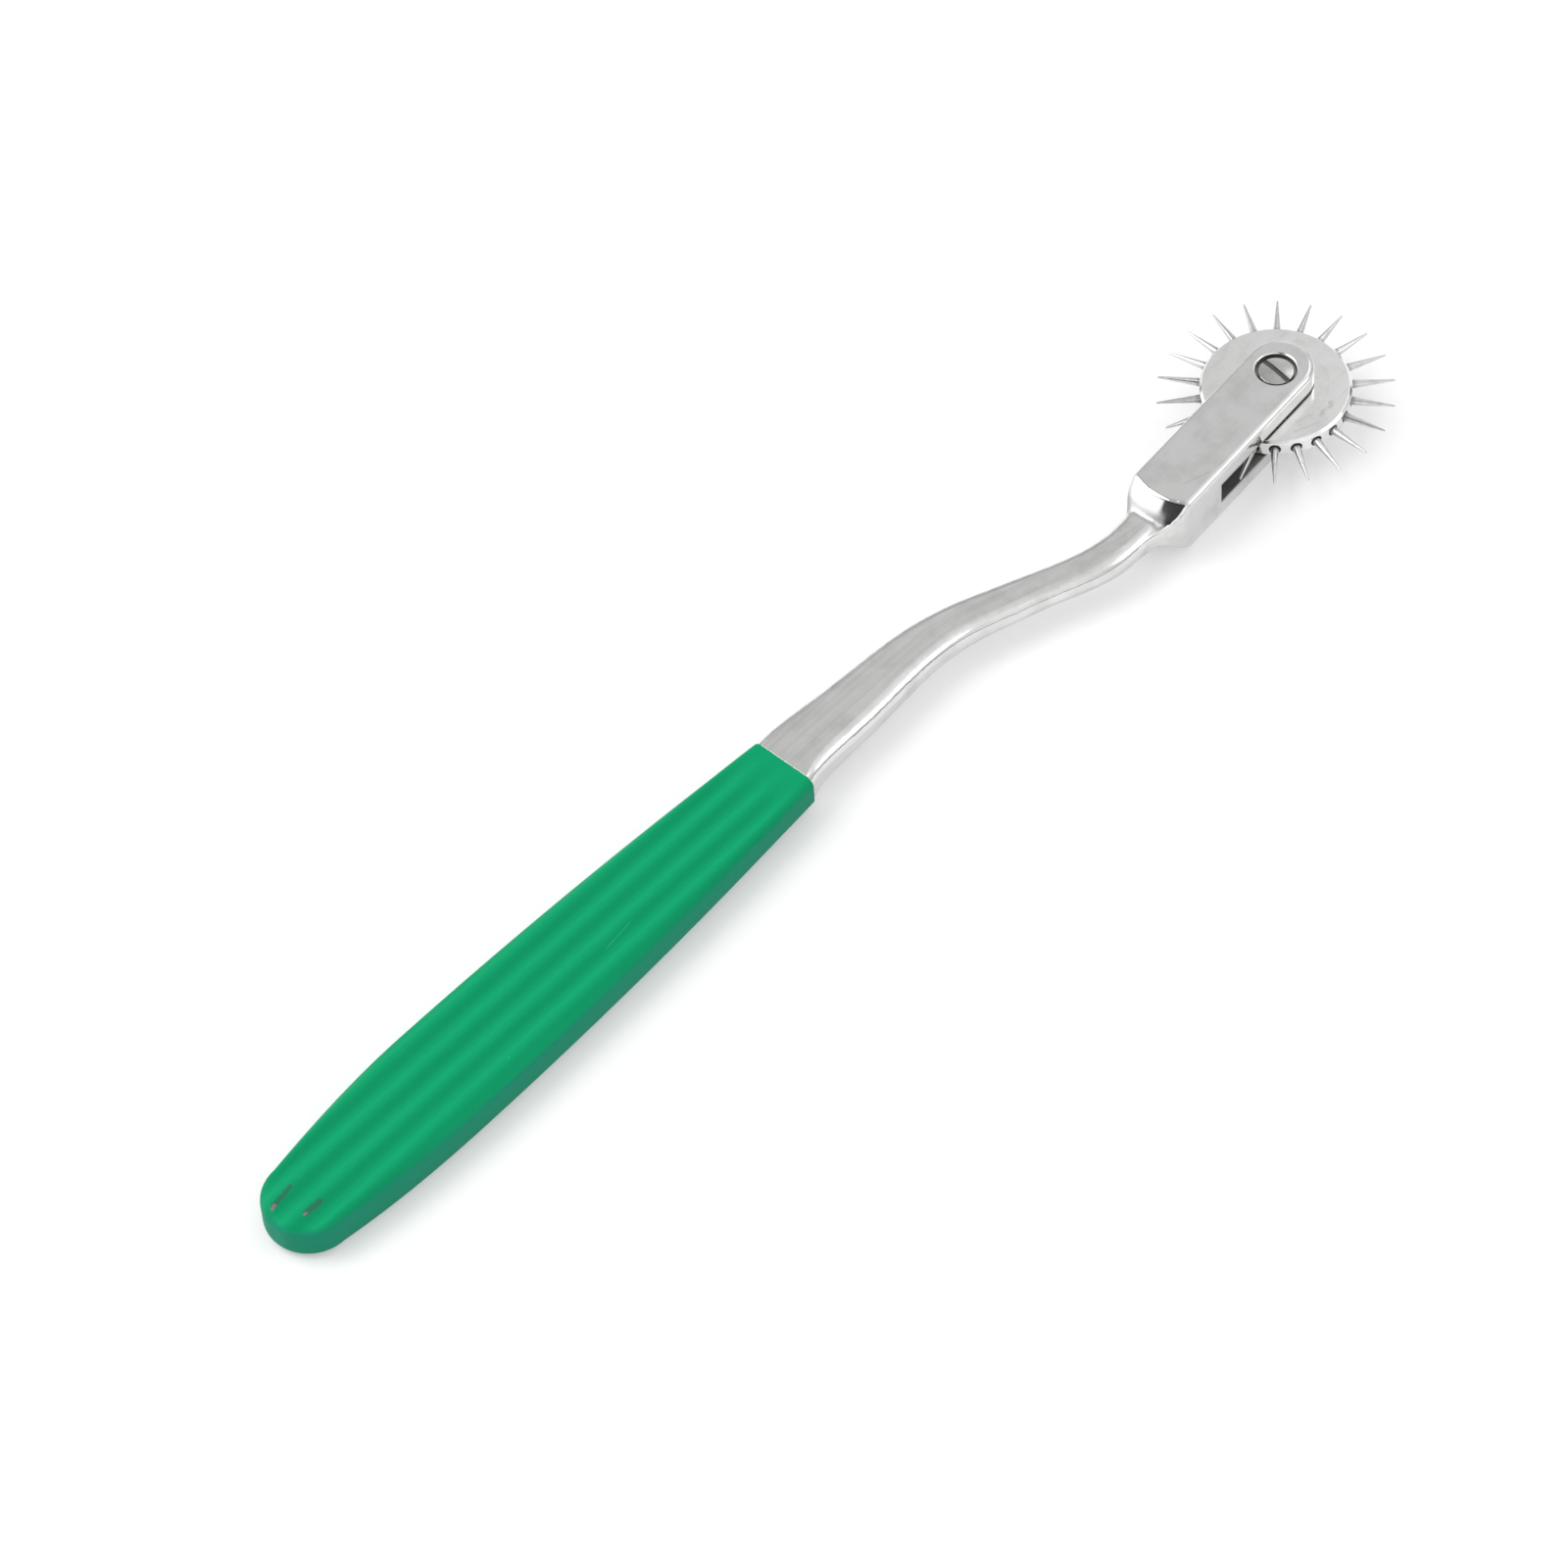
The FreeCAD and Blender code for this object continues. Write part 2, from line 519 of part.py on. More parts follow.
def needle_pin(number):
    body = new_body(f"needle_pin_{number + 1:02d}")
    body.Placement.Rotation = FreeCAD.Rotation(FreeCAD.Vector(0, 0, 1), 1)
    body.setExpression("Placement.Rotation.Angle",
                       f"sizes.pin_phase + {number} * 360 / {PIN_COUNT}")
    sketch = body.newObject("Sketcher::SketchObject", f"pin_profile_{number + 1:02d}")
    attach(sketch, body, "XY_Plane")
    rim, radius = "sizes.disc_diameter / 2", "sizes.pin_diameter / 2"
    draw_outline(sketch, (
        (f"{rim} - sizes.pin_seat_depth", "0"), ("sizes.wheel_reach", "0"),
        ("sizes.wheel_reach - sizes.pin_tip_radius", "sizes.pin_tip_radius"),
        (rim, radius), (f"{rim} - sizes.pin_seat_depth", radius)), {1: "sizes.pin_tip_radius"})
    needle = body.newObject("PartDesign::Revolution", f"needle_{number + 1:02d}")
    needle.Profile = sketch
    needle.ReferenceAxis = (sketch, ["H_Axis"])
    needle.Angle = 360
    return body


# Axle screw: slotted head in the counterbore, plain shank for the wheel, threaded end

def axle_screw():
    body = new_body("axle_screw")
    face = "sizes.fork_thickness / 2"
    ledge = f"({face} - sizes.counterbore_depth)"
    head, shank = "sizes.screw_head_diameter / 2", "sizes.axle_diameter / 2"
    thread = "sizes.thread_diameter / 2"
    end = f"(sizes.thread_recess - {face})"
    shank_end = "(-sizes.slot_width / 2)"
    dome = f"(({head}) ^ 2 + sizes.screw_dome_height ^ 2) / (2 * sizes.screw_dome_height)"
    brim = f"{ledge} + sizes.screw_head_height"
    turned(body, "screw", (
        ("0", end), (f"{thread} - sizes.thread_chamfer", end),
        (thread, f"{end} + sizes.thread_chamfer"), (thread, shank_end), (shank, shank_end),
        (shank, ledge), (head, ledge), (head, brim),
        ("0", f"{brim} + sizes.screw_dome_height")), {7: dome})
    sketch = body.newObject("Sketcher::SketchObject", "driver_slot_outline")
    attach(sketch, body, "XY_Plane", FreeCAD.Vector(0, 0, 1))
    sketch.setExpression("AttachmentOffset.Rotation.Angle", "sizes.screw_slot_turn")
    sketch.setExpression("AttachmentOffset.Base.z",
                         f"{brim} + sizes.screw_dome_height - sizes.screw_slot_depth")
    across, along = "sizes.screw_slot_width / 2", "(sizes.screw_head_diameter / 2 + sizes.overrun)"
    draw_outline(sketch, ((f"-{along}", f"-{across}"), (along, f"-{across}"), (along, across),
                          (f"-{along}", across)), {})
    slot = body.newObject("PartDesign::Pocket", "driver_slot")
    slot.Profile = sketch
    slot.Reversed = True
    slot.setExpression("Length", "sizes.screw_slot_depth + sizes.overrun")
    return body


nodes = [frame, coating, axle_screw(), wheel_disc()]
nodes += [needle_pin(number) for number in range(PIN_COUNT)]
doc.recompute()

# Nothing is written unless every object was built and every sub-part is one sound solid
failed = [item.Name for item in doc.Objects if "Invalid" in item.State or "Error" in item.State]
if failed:
    raise RuntimeError("these objects failed: " + ", ".join(failed))
for node in nodes:
    if node.Shape.isNull() or not node.Shape.isValid() or len(node.Shape.Solids) != 1:
        raise RuntimeError(node.Label + " is not one sound solid")
for node in nodes:
    node.Shape.exportStep(os.path.join("parts", node.Label + ".step"))
    box = node.Shape.BoundBox
    print(f"{node.Label}: {node.Shape.Volume:.2f} mm3, x {box.XMin:.2f} to {box.XMax:.2f},"
          f" y {box.YMin:.2f} to {box.YMax:.2f}, z {box.ZMin:.2f} to {box.ZMax:.2f}")
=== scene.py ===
import math

import bmesh
import bpy
from mathutils import Euler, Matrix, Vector


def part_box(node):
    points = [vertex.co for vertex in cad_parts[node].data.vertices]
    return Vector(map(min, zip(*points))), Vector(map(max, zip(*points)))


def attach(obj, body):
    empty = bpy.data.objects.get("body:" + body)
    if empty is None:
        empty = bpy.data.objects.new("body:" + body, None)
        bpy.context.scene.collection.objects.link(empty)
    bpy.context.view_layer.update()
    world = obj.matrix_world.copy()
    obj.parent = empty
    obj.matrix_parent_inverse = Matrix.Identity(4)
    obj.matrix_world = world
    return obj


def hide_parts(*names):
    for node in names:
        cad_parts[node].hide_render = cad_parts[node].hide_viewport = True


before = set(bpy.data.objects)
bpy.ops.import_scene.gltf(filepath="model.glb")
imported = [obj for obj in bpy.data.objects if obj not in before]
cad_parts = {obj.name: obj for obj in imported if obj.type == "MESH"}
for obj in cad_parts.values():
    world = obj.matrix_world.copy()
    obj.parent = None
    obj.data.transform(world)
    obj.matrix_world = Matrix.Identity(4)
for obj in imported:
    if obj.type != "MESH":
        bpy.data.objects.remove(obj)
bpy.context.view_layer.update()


# Camera
# A long lens just under a metre away, beside the handle. It looks down on the upper cheek of
# the fork and on the top of the grip.
MM = 0.001


def mm(*lengths):
    """Lengths in millimetres, as metres."""
    return tuple(length * MM for length in lengths)


CAMERA_PLACE = mm(-385.7, -377.01, 696.68)
CAMERA_TURN = (37.789, 2.509, -47.931)
LENS_MM = 165.9
SENSOR_MM = 36.0

camera_data = bpy.data.cameras.new("camera")
camera_data.lens = LENS_MM
camera_data.sensor_width = SENSOR_MM
camera_data.clip_start = 0.01
camera_data.clip_end = 20.0
camera = bpy.data.objects.new("camera", camera_data)
camera.location = CAMERA_PLACE
camera.rotation_euler = Euler([math.radians(angle) for angle in CAMERA_TURN])
bpy.context.scene.collection.objects.link(camera)
bpy.context.scene.camera = camera
bpy.context.scene.view_settings.view_transform = "Standard"


# Light tent
# White cloth lit from outside: bright walls, a greyer roof with one bright seam, a window to
# the right, a grey board on the far side and a dark opening over the handle. The steel mirrors
# all of it, and the gap under the walls.
WALL_LEVEL = 1.15
WALL_LEAN = (-0.85, 0.35, 0.0)
WALL_CHANGE = 0.40
ROOF_LEVEL = 0.69
ROOF_STARTS, ROOF_FULL = 0.45, 0.72
ROOF_LEAN = (0.7, -0.7, 0.0)
ROOF_CHANGE = 1.0
GAP_LEVEL = 0.15
GAP_CLOSED, GAP_ENDS = 0.05, 0.09
OPENING_TOWARDS = (-0.82, -0.17, 0.545)
OPENING_LEVEL = 0.05
OPENING_EDGE, OPENING_INSIDE = 0.955, 0.962
WINDOW_TOWARDS = (0.49, -0.70, 0.52)
WINDOW_LEVEL = 1.8
WINDOW_EDGE, WINDOW_INSIDE = 0.92, 0.97
SEAM_TOWARDS = (0.66, 0.14, 0.735)
SEAM_LEVEL = 2.2
SEAM_EDGE, SEAM_INSIDE = 0.985, 0.997
BOARD_TOWARDS = (0.45, 0.85, 0.22)
BOARD_LEVEL = 0.55
BOARD_EDGE, BOARD_INSIDE = 0.90, 0.96


class Value:
    """The socket of a shader node, for sums written as in ordinary Python."""

    def __init__(self, shader, socket):
        self.shader = shader
        self.socket = socket

    def maths(self, operation, *numbers):
        settings = {"operation": operation}
        return self.shader.node("ShaderNodeMath", settings, dict(enumerate(numbers)))

    def __add__(self, other):
        return self.maths("ADD", self, other)

    def __sub__(self, other):
        return self.maths("SUBTRACT", self, other)

    def __rsub__(self, other):
        return self.maths("SUBTRACT", other, self)

    def __mul__(self, other):
        return self.maths("MULTIPLY", self, other)

    def __truediv__(self, other):
        return self.maths("DIVIDE", self, other)

    def __pow__(self, other):
        return self.maths("POWER", self, other)

    __radd__ = __add__
    __rmul__ = __mul__

    def size(self):
        return self.maths("ABSOLUTE", self)

    def cosine(self):
        return self.maths("COSINE", self)

    def larger(self, other):
        return self.maths("MAXIMUM", self, other)

    def rise(self, low, high):
        """0 up to low, 1 from high on and a smooth rise from one to the other."""
        settings = {"interpolation_type": "SMOOTHSTEP"}
        sockets = {"Value": self, "From Min": low, "From Max": high}
        return self.shader.node("ShaderNodeMapRange", settings, sockets)

    def fall(self, low, high):
        """1 up to low, 0 from high on and a smooth fall from one to the other."""
        return 1 - self.rise(low, high)


class Shader:
    """The nodes of one finish, or of the world."""

    def __init__(self, owner):
        owner.use_nodes = True
        self.owner = owner
        self.tree = owner.node_tree
        self.tree.nodes.clear()

    def node(self, kind, settings=None, sockets=None, output=0):
        """Adds a node with its settings and with the values or links of its sockets."""
        node = self.tree.nodes.new(kind)
        for name, value in (settings or {}).items():
            setattr(node, name, value)
        for name, value in (sockets or {}).items():
            if isinstance(value, Value):
                self.tree.links.new(value.socket, node.inputs[name])
            else:
                node.inputs[name].default_value = value
        return Value(self, node.outputs[output]) if node.outputs else None

    def parts(self, vector):
        """The x, y and z of a vector."""
        first = self.node("ShaderNodeSeparateXYZ", None, {"Vector": vector})
        return [Value(self, socket) for socket in first.socket.node.outputs]

    def likeness(self, vector, direction):
        """1 where two directions agree and 0 where they are square to each other."""
        unit = Vector(direction).normalized()
        return self.node("ShaderNodeVectorMath", {"operation": "DOT_PRODUCT"},
                         {0: vector, 1: unit}, "Value")


world = bpy.data.worlds.new("light_tent")
bpy.context.scene.world = world
tent = Shader(world)
towards = tent.node("ShaderNodeTexCoord", output="Generated")
height = tent.parts(towards)[2]
roof = ROOF_LEVEL * (1 + ROOF_CHANGE * tent.likeness(towards, ROOF_LEAN))
wall = WALL_LEVEL * (1 + WALL_CHANGE * tent.likeness(towards, WALL_LEAN))
light = wall + height.rise(ROOF_STARTS, ROOF_FULL) * (roof - wall)
light = light * (1 - height.fall(GAP_CLOSED, GAP_ENDS) * (1 - GAP_LEVEL))
opening = tent.likeness(towards, OPENING_TOWARDS).rise(OPENING_EDGE, OPENING_INSIDE)
light = light * (1 - opening * (1 - OPENING_LEVEL))
board = tent.likeness(towards, BOARD_TOWARDS).rise(BOARD_EDGE, BOARD_INSIDE)
light = light * (1 - board * (1 - BOARD_LEVEL))
window = tent.likeness(towards, WINDOW_TOWARDS).rise(WINDOW_EDGE, WINDOW_INSIDE)
light = light.larger(window * WINDOW_LEVEL)
seam = tent.likeness(towards, SEAM_TOWARDS).rise(SEAM_EDGE, SEAM_INSIDE)
light = light.larger(seam * SEAM_LEVEL)
background = tent.node("ShaderNodeBackground", None, {"Color": (1, 1, 1, 1), "Strength": light})
tent.node("ShaderNodeOutputWorld", None, {"Surface": background})


# Key light
# One large soft box high over the far side of the handle. The soft shadows fall to the right.
KEY_PLACE = (-0.42, 0.66, 1.08)
KEY_WIDTH = 0.9
KEY_WATTS = 10.0

key_data = bpy.data.lights.new("key", "AREA")
key_data.shape = "SQUARE"
key_data.size = KEY_WIDTH
key_data.energy = KEY_WATTS
key = bpy.data.objects.new("key", key_data)
key.location = KEY_PLACE
key.rotation_mode = "QUATERNION"
key.rotation_quaternion = Vector(KEY_PLACE).to_track_quat("Z", "Y")
bpy.context.scene.collection.objects.link(key)


# Floor
# A white sweep. The instrument rests on the back edge of its lower cheek and on the end of its
# grip, which is thinner than the fork, so the sweep slopes with it by half a degree.
FLOOR_WIDTH = 6.0
REST_EDGE_X = 55.5 * MM
TAIL_REST_X = -90.0 * MM
FLOOR_COLOUR = (0.66, 0.658, 0.65, 1.0)
FLOOR_GLOW = (0.30, 0.303, 0.312, 1.0)

floor_shape = bmesh.new()
bmesh.ops.create_grid(floor_shape, x_segments=1, y_segments=1, size=FLOOR_WIDTH / 2)
floor_mesh = bpy.data.meshes.new("floor")
floor_shape.to_mesh(floor_mesh)
floor_shape.free()
floor = bpy.data.objects.new("floor", floor_mesh)
tail_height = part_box("grip_coating")[0].z
floor.location = (REST_EDGE_X, 0, 0)
floor.rotation_euler = (0, math.atan2(tail_height, REST_EDGE_X - TAIL_REST_X), 0)
bpy.context.scene.collection.objects.link(floor)

sweep = Shader(bpy.data.materials.new("white_sweep"))
camera_ray, glossy_ray, clear_ray = [
    sweep.node("ShaderNodeLightPath", output=f"Is {kind} Ray")
    for kind in ("Camera", "Glossy", "Transmission")]
matt = sweep.node("ShaderNodeBsdfDiffuse", None, {"Color": FLOOR_COLOUR})
glow = sweep.node("ShaderNodeEmission", None,
                  {"Color": FLOOR_GLOW, "Strength": camera_ray + glossy_ray + clear_ray})
lit = sweep.node("ShaderNodeAddShader", None, {0: matt, 1: glow})
sweep.node("ShaderNodeOutputMaterial", None, {"Surface": lit})
floor_mesh.materials.append(sweep.owner)


# Forged frame
# Tang, bent neck, shoulder and slotted fork are one steel forging, ground along its length and
# buffed bright. The milled slot, with a band onto the cheeks' edges beside it, and the recess of
# the screw's head are rougher and painted dark as painted shade, and the inner corner at the
# shoulder's foot is rougher and painted darker as painted shade.
STEEL = (0.77, 0.77, 0.765, 1.0)
STEEL_CLOUDED = (0.62, 0.62, 0.615, 1.0)
STEEL_SCRATCHED = (0.45, 0.445, 0.43, 1.0)
STEEL_RECESS_SHADE = (0.36, 0.358, 0.352, 1.0)
STEEL_FOOT_SHADE = (0.42, 0.42, 0.415, 1.0)
STEEL_ROUGHNESS = 0.06
STEEL_SOFTNESS = 0.18 * MM
STEEL_RELIEF = 0.10 * MM
CLOUD_SIZE = 4.0 * MM
BUFFING_SIZE = mm(5.0, 0.22, 0.22)
SCRATCH_SIZE = mm(4.0, 0.045, 0.045)
WAVE_SIZE = mm(9.0, 5.0, 5.0)
PIT_SPACING, PIT_WIDTH = mm(2.4, 0.16)
FOOT_SOFTNESS = 0.8 * MM
FOOT_STARTS, FOOT_ENDS = mm(50.5, 51.5), mm(53.4, 54.2)
FOOT_SIDE, FOOT_TOP = mm(-4.6, -3.8), mm(7.0, 7.8)
FOOT_SHADE_STARTS, FOOT_SHADE_TOP = mm(51.1, 51.7), mm(6.5, 7.3)
FORK_TURN = math.radians(4.0)
SLOT_HALF = 1.6 * MM
SLOT_REACH = 17.65 * MM
RECESS_RADIUS = 2.65 * MM
CHEEK_RIM = 0.16 * MM
SLOT_SHADE = 0.22 * MM
NECK_BEND, NECK_ENDS = mm(18.0, 54.0), mm(48.0, 58.0)
NECK_SWAY = 8.0 * MM
STREAK_SIZE = mm(24.0, 0.55, 0.55)
CHEEK_LINES = ((61.34, -4.6, 57.4, -3.2, 0.34), (70.4, 3.95, 80.2, 3.86, 0.16))
SLIVER = 0.02 * MM
AXLE = (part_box("axle_screw")[0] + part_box("axle_screw")[1]) / 2
CHEEK_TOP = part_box("fork_frame")[1].z


def noise(shader, place, size, detail=2.0, roughness=0.5):
    """Noise from 0 to 1 whose grains have a size, one for all axes or one for each."""
    sizes = size if isinstance(size, tuple) else (size, size, size)
    scaled = shader.node("ShaderNodeMapping", None, {
        "Vector": place, "Scale": [1 / side for side in sizes]})
    return shader.node("ShaderNodeTexNoise", None, {
        "Vector": scaled, "Scale": 1.0, "Detail": detail, "Roughness": roughness})


def pits(shader, place, spacing, width):
    """1 in small round pits, about one in every other cell of a spacing."""
    cells = shader.node("ShaderNodeTexVoronoi", None,
                        {"Vector": place, "Scale": 1 / spacing}, "Distance")
    chosen = noise(shader, place, spacing * 1.7, 0.0).rise(0.52, 0.56)
    return cells.fall(width / spacing * 0.4, width / spacing * 0.6) * chosen


def marks(x, y, rows):
    """1 along straight marks in plan, tapering off to both sides. Each row has the two ends and
    the width of a mark in millimetres."""
    share = None
    for row in rows:
        start, end = Vector(mm(*row[:2])), Vector(mm(*row[2:4]))
        width, half = row[4] * MM, (end - start).length / 2
        run, middle = (end - start).normalized(), (start + end) / 2
        along = (x - middle.x) * run.x + (y - middle.y) * run.y
        across = (y - middle.y) * run.x - (x - middle.x) * run.y
        mark = across.size().fall(width * 0.2, width * 0.5) * along.size().fall(half * 0.8, half)
        share = share.larger(mark) if share else mark
    return share


def blend(shader, share, first, second):
    """A colour that goes from the first to the second as the share rises from 0 to 1."""
    return shader.node("ShaderNodeMix", {"data_type": "RGBA"}, {0: share, 6: first, 7: second}, 2)


def surface(shader, sockets, relief, depth, softness):
    """A Principled surface whose relief, from 0 to 1, is this deep and whose edges look rounded
    by a softness."""
    soft = shader.node("ShaderNodeBevel", {"samples": 8}, {"Radius": softness})
    normal = shader.node("ShaderNodeBump", None, {
        "Strength": 1.0, "Distance": depth, "Height": relief, "Normal": soft})
    body = shader.node("ShaderNodeBsdfPrincipled", None, {**sockets, "Normal": normal})
    shader.node("ShaderNodeOutputMaterial", None, {"Surface": body})


def dress(node, shader):
    """Puts a finish in every material slot of a solid from the source."""
    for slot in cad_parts[node].material_slots:
        slot.material = shader.owner


forging = Shader(bpy.data.materials.new("buffed_forging"))
place = forging.node("ShaderNodeTexCoord", output="Object")
x, y, z = forging.parts(place)
along = (x - AXLE.x) * math.cos(FORK_TURN) + (y - AXLE.y) * math.sin(FORK_TURN)
off_middle = (z - CHEEK_TOP / 2).size()
off_axle = ((x - AXLE.x) ** 2 + (y - AXLE.y) ** 2) ** 0.5
# Painted shade: the slot, a band onto the cheeks' edges beside it and the recess round the
# screw's head are painted dark, and they are rougher too.
in_slot = off_middle.fall(SLOT_HALF + SLOT_SHADE, SLOT_HALF + SLOT_SHADE + SLIVER)
in_slot = in_slot * along.rise(-SLOT_REACH - SLIVER, -SLOT_REACH)
in_recess = off_axle.fall(RECESS_RADIUS, RECESS_RADIUS + SLIVER)
in_recess = in_recess * z.fall(CHEEK_TOP - CHEEK_RIM - SLIVER, CHEEK_TOP - CHEEK_RIM)
dull_and_shaded = in_slot.larger(in_recess)
cloud = noise(forging, place, CLOUD_SIZE, 4.0, 0.6).rise(0.40, 0.72)
neck_place = forging.node("ShaderNodeCombineXYZ", None, {
    "X": x, "Y": y - x.fall(*NECK_BEND) * NECK_SWAY, "Z": z})
buffing = noise(forging, neck_place, BUFFING_SIZE, 3.0, 0.6)
streak = noise(forging, neck_place, STREAK_SIZE, 2.0).rise(0.42, 0.72) * x.fall(*NECK_ENDS)
scratch = noise(forging, neck_place, SCRATCH_SIZE, 1.0).rise(0.70, 0.76)
scratch = scratch * noise(forging, place, CLOUD_SIZE, 1.0).rise(0.48, 0.60)
wave = noise(forging, place, WAVE_SIZE, 1.0)
pit = pits(forging, place, PIT_SPACING, PIT_WIDTH)
line = marks(x, y, CHEEK_LINES) * z.rise(CHEEK_TOP - SLIVER, CHEEK_TOP - SLIVER / 2)
worn = blend(forging, cloud * 0.65 + buffing * 0.35, STEEL, STEEL_CLOUDED)
wear = (scratch * 0.35).larger(pit * 0.7).larger(line * 0.3).larger(streak * 0.20)
worn = blend(forging, wear, worn, STEEL_SCRATCHED)
foot = x.rise(*FOOT_STARTS) * x.fall(*FOOT_ENDS) * z.fall(*FOOT_TOP) * y.rise(*FOOT_SIDE)
# Painted shade: the lowest part of the shoulder's foot is painted darker, and it is also rougher
# there.
foot_shade = foot * x.rise(*FOOT_SHADE_STARTS) * z.fall(*FOOT_SHADE_TOP)
worn = blend(forging, foot_shade * 0.9, worn, STEEL_FOOT_SHADE)
finished = blend(forging, dull_and_shaded, worn, STEEL_RECESS_SHADE)
roughness = STEEL_ROUGHNESS + cloud * 0.05 + buffing * 0.06 + scratch * 0.1 + dull_and_shaded * 0.35
roughness = roughness + foot * 0.08 + foot_shade * 0.16
relief = buffing * 0.03 + wave - scratch * 0.012 - pit * 0.05
surface(forging, {"Base Color": finished, "Metallic": 1.0, "Roughness": roughness},
        relief, STEEL_RELIEF, STEEL_SOFTNESS + foot * FOOT_SOFTNESS)
dress("fork_frame", forging)


# Grip coat
# Green plastic, dipped over the fluted tang and cut square at its front end. The flutes show
# through it as soft lobes, with painted highlight on one flank of each lobe and painted shade on
# the other, and the side wall is painted as a shaded, bluer copy of the green; handling has
# scratched it and chipped it near the tail.
COAT_LOW, COAT_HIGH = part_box("grip_coating")
COAT_MIDDLE = 6.6 * MM
COAT_MID_HEIGHT = (COAT_LOW.z + COAT_HIGH.z) / 2
FRONT_HALF_WIDTH = 4.85 * MM
FRONT_HALF_HEIGHT = 2.45 * MM
WIDEST_X = -65.66 * MM
WIDEST_HALF_WIDTH = 7.4 * MM
TIP_RADIUS = 5.65 * MM
TIP_MIDDLE = (COAT_LOW.x + TIP_RADIUS, 6.3 * MM)
COAT_EDGE = 1.2 * MM
LOBE_PITCH = mm(3.25, 3.7)
LOBE_DEPTH = mm(0.30, 0.50)
LOBE_START = 9.0 * MM
LOBE_FADE = 1.5 * MM
SIDE_STEPS, TIP_STEPS, FACE_STEPS, EDGE_STEPS = 150, 36, 26, 6
OUTLINE_STEPS = 2 * SIDE_STEPS + TIP_STEPS
ROUND_STEPS = 2 * (FACE_STEPS + EDGE_STEPS) + 1
WELD = 0.01 * MM


def between(share, ends):
    """From the first end at a share of 0 to the second at 1."""
    return ends[0] + (ends[1] - ends[0]) * share


def ease(share):
    """A share from 0 to 1 with a soft start and a soft end."""
    share = min(max(share, 0.0), 1.0)
    return share * share * (3 - 2 * share)


def coat_side(step):
    """The coat's middle line, the way out from it and the half width, at a step of its outline.
    The steps run from the front end down one side, round the tip and back along the other."""
    if SIDE_STEPS <= step <= SIDE_STEPS + TIP_STEPS:
        angle = math.pi * (0.5 + (step - SIDE_STEPS) / TIP_STEPS)
        return Vector(TIP_MIDDLE), Vector((math.cos(angle), math.sin(angle))), TIP_RADIUS
    x = between(min(step, OUTLINE_STEPS - step) / SIDE_STEPS, (COAT_HIGH.x, TIP_MIDDLE[0]))
    narrower = FRONT_HALF_WIDTH if x > WIDEST_X else TIP_RADIUS
    run_end = COAT_HIGH.x if x > WIDEST_X else TIP_MIDDLE[0]
    half = WIDEST_HALF_WIDTH
    half -= (WIDEST_HALF_WIDTH - narrower) * ((x - WIDEST_X) / (run_end - WIDEST_X)) ** 2
    lean = ease((WIDEST_X - x) / (WIDEST_X - TIP_MIDDLE[0]))
    middle = Vector((x, between(lean, (COAT_MIDDLE, TIP_MIDDLE[1]))))
    return middle, Vector((0, 1 if step < SIDE_STEPS else -1)), half


def coat_height(spot, inward):
    """Height of the lobed face over the coat's middle, at a distance in from its outline."""
    share = (COAT_HIGH.x - spot.x) / (COAT_HIGH.x - COAT_LOW.x)
    top = between(share, (FRONT_HALF_HEIGHT, (COAT_HIGH.z - COAT_LOW.z) / 2))
    depth = between(share, LOBE_DEPTH) * ease((COAT_HIGH.x - spot.x) / LOBE_START)
    turn = (spot.y - COAT_MIDDLE) / between(share, LOBE_PITCH) * 2 * math.pi
    groove = between(ease(inward / LOBE_FADE), (0.5, 0.5 + 0.5 * math.cos(turn)))
    return top - depth * groove


coat_shape = bmesh.new()
bmesh.ops.create_grid(coat_shape, x_segments=OUTLINE_STEPS, y_segments=ROUND_STEPS, size=1)
for vertex in coat_shape.verts:
    step = round((vertex.co.x + 1) / 2 * OUTLINE_STEPS)
    row = round((vertex.co.y + 1) / 2 * ROUND_STEPS)
    facing = 1 if row <= ROUND_STEPS // 2 else -1
    row = min(row, ROUND_STEPS - row)
    middle, way, half = coat_side(step)
    turn = math.pi / 2 * max(row - FACE_STEPS, 0) / EDGE_STEPS
    reach = (half - COAT_EDGE) * min(row / FACE_STEPS, 1) + COAT_EDGE * math.sin(turn)
    spot = middle + way * reach
    height = coat_height(spot, half - reach) - COAT_EDGE * (1 - math.cos(turn))
    vertex.co = (spot.x, spot.y, COAT_MID_HEIGHT + facing * height)
bmesh.ops.remove_doubles(coat_shape, verts=coat_shape.verts, dist=WELD)
front_ring = [edge for edge in coat_shape.edges if edge.is_boundary]
bmesh.ops.contextual_create(coat_shape, geom=front_ring)
bmesh.ops.recalc_face_normals(coat_shape, faces=coat_shape.faces)
for face in coat_shape.faces:
    face.smooth = True
for edge in front_ring:
    edge.smooth = False
coat_mesh = bpy.data.meshes.new("grip_coat")
coat_shape.to_mesh(coat_mesh)
coat_shape.free()
grip_coat = bpy.data.objects.new("grip_coat", coat_mesh)
bpy.context.scene.collection.objects.link(grip_coat)
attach(grip_coat, "handle")
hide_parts("grip_coating")

